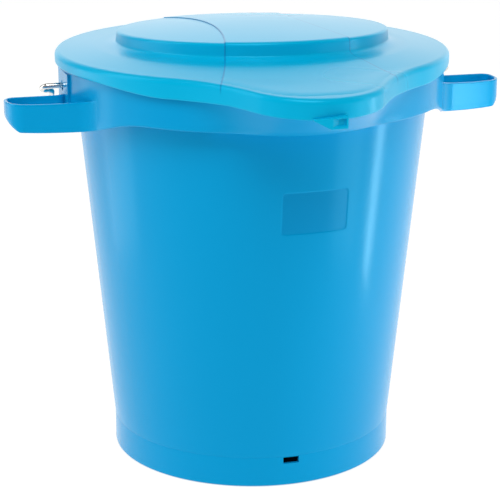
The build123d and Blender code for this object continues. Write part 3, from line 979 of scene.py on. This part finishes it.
def strip_edge_painted_shade(nodes, links, where, colour):
    """Painted shade: a darker line along both edges of the lid's middle strip, where its fine step would
    be shaded.
    """
    split = nodes.new("ShaderNodeSeparateXYZ")
    links.new(where, split.inputs[0])
    along = math_node(nodes, links, "SUBTRACT", split.outputs["Y"], STRIP_MIDDLE * MM)
    bow = math_node(nodes, links, "MULTIPLY", along, along)
    bow = math_node(nodes, links, "DIVIDE", bow, 2 * STRIP_CURVE * MM)
    half_width = math_node(nodes, links, "ADD", bow, (STRIP_NARROW - STRIP_SHADE_INSET) * MM)
    across = math_node(nodes, links, "ABSOLUTE", split.outputs["X"])
    gap = math_node(nodes, links, "SUBTRACT", across, half_width)
    gap = math_node(nodes, links, "ABSOLUTE", gap)
    line = span(nodes, links, gap, STRIP_SHADE_CORE, STRIP_SHADE_END, STRIP_SHADE_STRENGTH, 0.0)
    top_only = span(nodes, links, split.outputs["Z"], STRIP_SHADE_LOW, STRIP_SHADE_HIGH, 0.0, 1.0)
    mask = math_node(nodes, links, "MULTIPLY", line, top_only)
    return mix_colour(nodes, links, mask, colour, STRIP_SHADE_TONE)


def moulded_plastic(name, base, shade, rough, label=None, step_shaded=False):
    """Satin polypropylene with a faint, broad variation of tone and gloss."""
    mat, nodes, links, shader = new_material(name)
    where = nodes.new("ShaderNodeTexCoord").outputs["Object"]
    cloud = noise(nodes, links, where, PLASTIC_CLOUDS, 1.0)
    colour = mix_colour(nodes, links, cloud, base, shade)
    if label is not None:
        colour = label_tone(nodes, links, where, colour, label)
    # Painted shade along the edges of the lid's middle strip.
    if step_shaded:
        colour = strip_edge_painted_shade(nodes, links, where, colour)
    links.new(colour, shader.inputs["Base Color"])
    spread = PLASTIC_GLOSS_SPREAD
    gloss = span(nodes, links, cloud, 0.0, 1.0, rough - spread, rough + spread)
    links.new(gloss, shader.inputs["Roughness"])
    shader.inputs["Specular IOR Level"].default_value = PLASTIC_SPECULAR
    shader.inputs["Specular Tint"].default_value = PLASTIC_SHEEN_TINT
    shader.inputs["IOR"].default_value = PLASTIC_IOR
    return mat


def drawn_steel(name):
    """Bright wire with fine scratches."""
    mat, nodes, links, shader = new_material(name)
    where = nodes.new("ShaderNodeTexCoord").outputs["Object"]
    tone = span(nodes, links, noise(nodes, links, where, STEEL_CLOUDS, 4.0), 0.3, 0.7, 0.0, 1.0)
    links.new(mix_colour(nodes, links, tone, *STEEL_TONES), shader.inputs["Base Color"])
    shader.inputs["Metallic"].default_value = 1.0
    scratch = noise(nodes, links, where, STEEL_SCRATCHES, 3.0)
    links.new(span(nodes, links, scratch, 0.3, 0.7, *STEEL_ROUGH), shader.inputs["Roughness"])
    bump = nodes.new("ShaderNodeBump")
    bump.inputs["Strength"].default_value = 0.08
    bump.inputs["Distance"].default_value = 0.0002
    links.new(scratch, bump.inputs["Height"])
    links.new(bump.outputs["Normal"], shader.inputs["Normal"])
    return mat


label_middle = wall_radius(PAD_MID) * sin(PAD_PHI)
label_half = (PAD_HALF_WIDTH - LABEL_INSET) * cos(PAD_PHI)
label_box = (
    (label_middle - label_half) * MM,
    (label_middle + label_half) * MM,
    (PAD_MID - PAD_HALF_HEIGHT + LABEL_INSET) * MM,
    (PAD_MID + PAD_HALF_HEIGHT - LABEL_INSET) * MM,
)
bucket_plastic = moulded_plastic(
    "bucket_plastic", (0.0, 0.33, 0.665), (0.0, 0.315, 0.645), 0.2, label=label_box)
# The lid's plastic carries a painted shade line along the middle strip's edges.
lid_plastic = moulded_plastic(
    "lid_plastic", (0.0, 0.44, 0.725), (0.0, 0.425, 0.705), 0.28, step_shaded=True)
steel = drawn_steel("bail_steel")

for obj in [bucket] + loops + lugs:
    obj.data.materials.append(bucket_plastic)
    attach(obj, "bucket")
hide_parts("bucket")
for obj in (lid, strip, tab):
    obj.data.materials.append(lid_plastic)
    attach(obj, "lid")
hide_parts("lid")
bail.data.materials.append(steel)
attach(bail, "bail_handle")
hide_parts("bail_handle")

# ============================================================ floor, light, camera
# Metres. The floor glows evenly, a little less in front of the bucket and not under it.
HALF_FLOOR = 6.0
FLOOR_DROP = 0.0005
FLOOR_TONE = 0.3
FLOOR_GLOW = 0.87
FLOOR_GLOW_FRONT = 0.68
GLOW_DIRECTION = (0.27, 0.96, 0.0)
GLOW_START = -1.6
GLOW_FULL = -0.22
UNDER_FOOT = 0.122
PAST_FOOT = 0.13
WORLD_FRONT = 0.15
WORLD_BACK = 1.45
WORLD_DIRECTION = (0.39, 0.91, 0.12)
WORLD_DIM_TO = 0.5         # cosine of the angle from WORLD_DIRECTION
WORLD_BRIGHT_FROM = 0.93
LIGHT_TARGET = Vector((0, 0, 0.2))
floor_mesh = bpy.data.meshes.new("floor")
floor_corners = [(x * HALF_FLOOR, y * HALF_FLOOR, 0) for x, y in ((-1, -1), (1, -1), (1, 1), (-1, 1))]
floor_mesh.from_pydata(floor_corners, [], [(0, 1, 2, 3)])
floor = bpy.data.objects.new("floor", floor_mesh)
floor.location.z = -FLOOR_DROP
bpy.context.scene.collection.objects.link(floor)
floor_mat, floor_nodes, floor_links, floor_shader = new_material("floor_white")
floor_shader.inputs["Base Color"].default_value = (FLOOR_TONE, FLOOR_TONE, FLOOR_TONE, 1)
floor_shader.inputs["Roughness"].default_value = 0.8
floor_shader.inputs["Specular IOR Level"].default_value = 0.05
floor_shader.inputs["Emission Color"].default_value = (1, 1, 1, 1)
floor_where = floor_nodes.new("ShaderNodeTexCoord").outputs["Object"]
from_axis = floor_nodes.new("ShaderNodeVectorMath")
from_axis.operation = "LENGTH"
floor_links.new(floor_where, from_axis.inputs[0])
clear_of_foot = span(floor_nodes, floor_links, from_axis.outputs["Value"], UNDER_FOOT, PAST_FOOT, 0.0, 1.0)
depth = floor_nodes.new("ShaderNodeVectorMath")
depth.operation = "DOT_PRODUCT"
depth.inputs[1].default_value = GLOW_DIRECTION
floor_links.new(floor_where, depth.inputs[0])
glow = span(
    floor_nodes, floor_links, depth.outputs["Value"], GLOW_START, GLOW_FULL, FLOOR_GLOW_FRONT, FLOOR_GLOW)
strength = math_node(floor_nodes, floor_links, "MULTIPLY", clear_of_foot, glow)
floor_links.new(strength, floor_shader.inputs["Emission Strength"])
floor.data.materials.append(floor_mat)

# Studio surround: bright behind the bucket, dim everywhere else.
world = bpy.data.worlds.new("studio")
world.use_nodes = True
bpy.context.scene.world = world
world_nodes, world_links = world.node_tree.nodes, world.node_tree.links
sky = world_nodes["Background"]
direction = world_nodes.new("ShaderNodeTexCoord").outputs["Generated"]
facing = world_nodes.new("ShaderNodeVectorMath")
facing.operation = "DOT_PRODUCT"
facing.inputs[1].default_value = WORLD_DIRECTION
world_links.new(direction, facing.inputs[0])
ramp = world_nodes.new("ShaderNodeMapRange")
ramp.interpolation_type = "SMOOTHSTEP"
ramp.inputs["From Min"].default_value = WORLD_DIM_TO
ramp.inputs["From Max"].default_value = WORLD_BRIGHT_FROM
ramp.inputs["To Min"].default_value = WORLD_FRONT
ramp.inputs["To Max"].default_value = WORLD_BACK
world_links.new(facing.outputs["Value"], ramp.inputs["Value"])
world_links.new(ramp.outputs["Result"], sky.inputs["Strength"])
sky.inputs["Color"].default_value = (1, 1, 1, 1)


def softbox(name, azimuth, elevation, distance, width, height, power):
    """Area light aimed at LIGHT_TARGET; azimuth from the spout towards +X, in degrees."""
    light = bpy.data.lights.new(name, "AREA")
    light.shape = "RECTANGLE"
    light.size = width
    light.size_y = height
    light.energy = power
    obj = bpy.data.objects.new(name, light)
    a, e = radians(azimuth), radians(elevation)
    spot = LIGHT_TARGET + Vector((sin(a) * cos(e), -cos(a) * cos(e), sin(e))) * distance
    obj.location = spot
    obj.rotation_euler = (LIGHT_TARGET - spot).to_track_quat("-Z", "Y").to_euler()
    bpy.context.scene.collection.objects.link(obj)


softbox("left_box", -95, 28, 2.0, 0.9, 1.7, 12)
softbox("right_box", 75, 28, 2.0, 0.5, 1.7, 4)
softbox("overhead", -18, 56, 2.0, 1.0, 1.0, 21)
# Low panels beside the bucket: they put the upright sheen on its sloping wall.
softbox("left_panel", -108, 0, 0.6, 0.3, 0.4, 0.4)
softbox("right_panel", 44, 0, 0.58, 0.18, 0.4, 0.36)
softbox("right_strip", 65, 0, 0.52, 0.045, 0.4, 0.55)

CAMERA_ROLL = radians(0.13)
VIEW_DIRECTION = Vector((0.2645, 0.9224, -0.2817))
camera_data = bpy.data.cameras.new("camera")
camera_data.lens = 120.0
camera_data.sensor_width = 36.0
camera_data.shift_x = -0.003
camera_data.clip_end = 50
camera = bpy.data.objects.new("camera", camera_data)
camera.location = (-0.4095, -1.4281, 0.6165)
camera.rotation_mode = "QUATERNION"
camera.rotation_quaternion = VIEW_DIRECTION.to_track_quat("-Z", "Y") @ Quaternion((0, 0, 1), CAMERA_ROLL)
bpy.context.scene.collection.objects.link(camera)
bpy.context.scene.camera = camera
bpy.context.scene.view_settings.view_transform = "Standard"


bpy.context.view_layer.update()
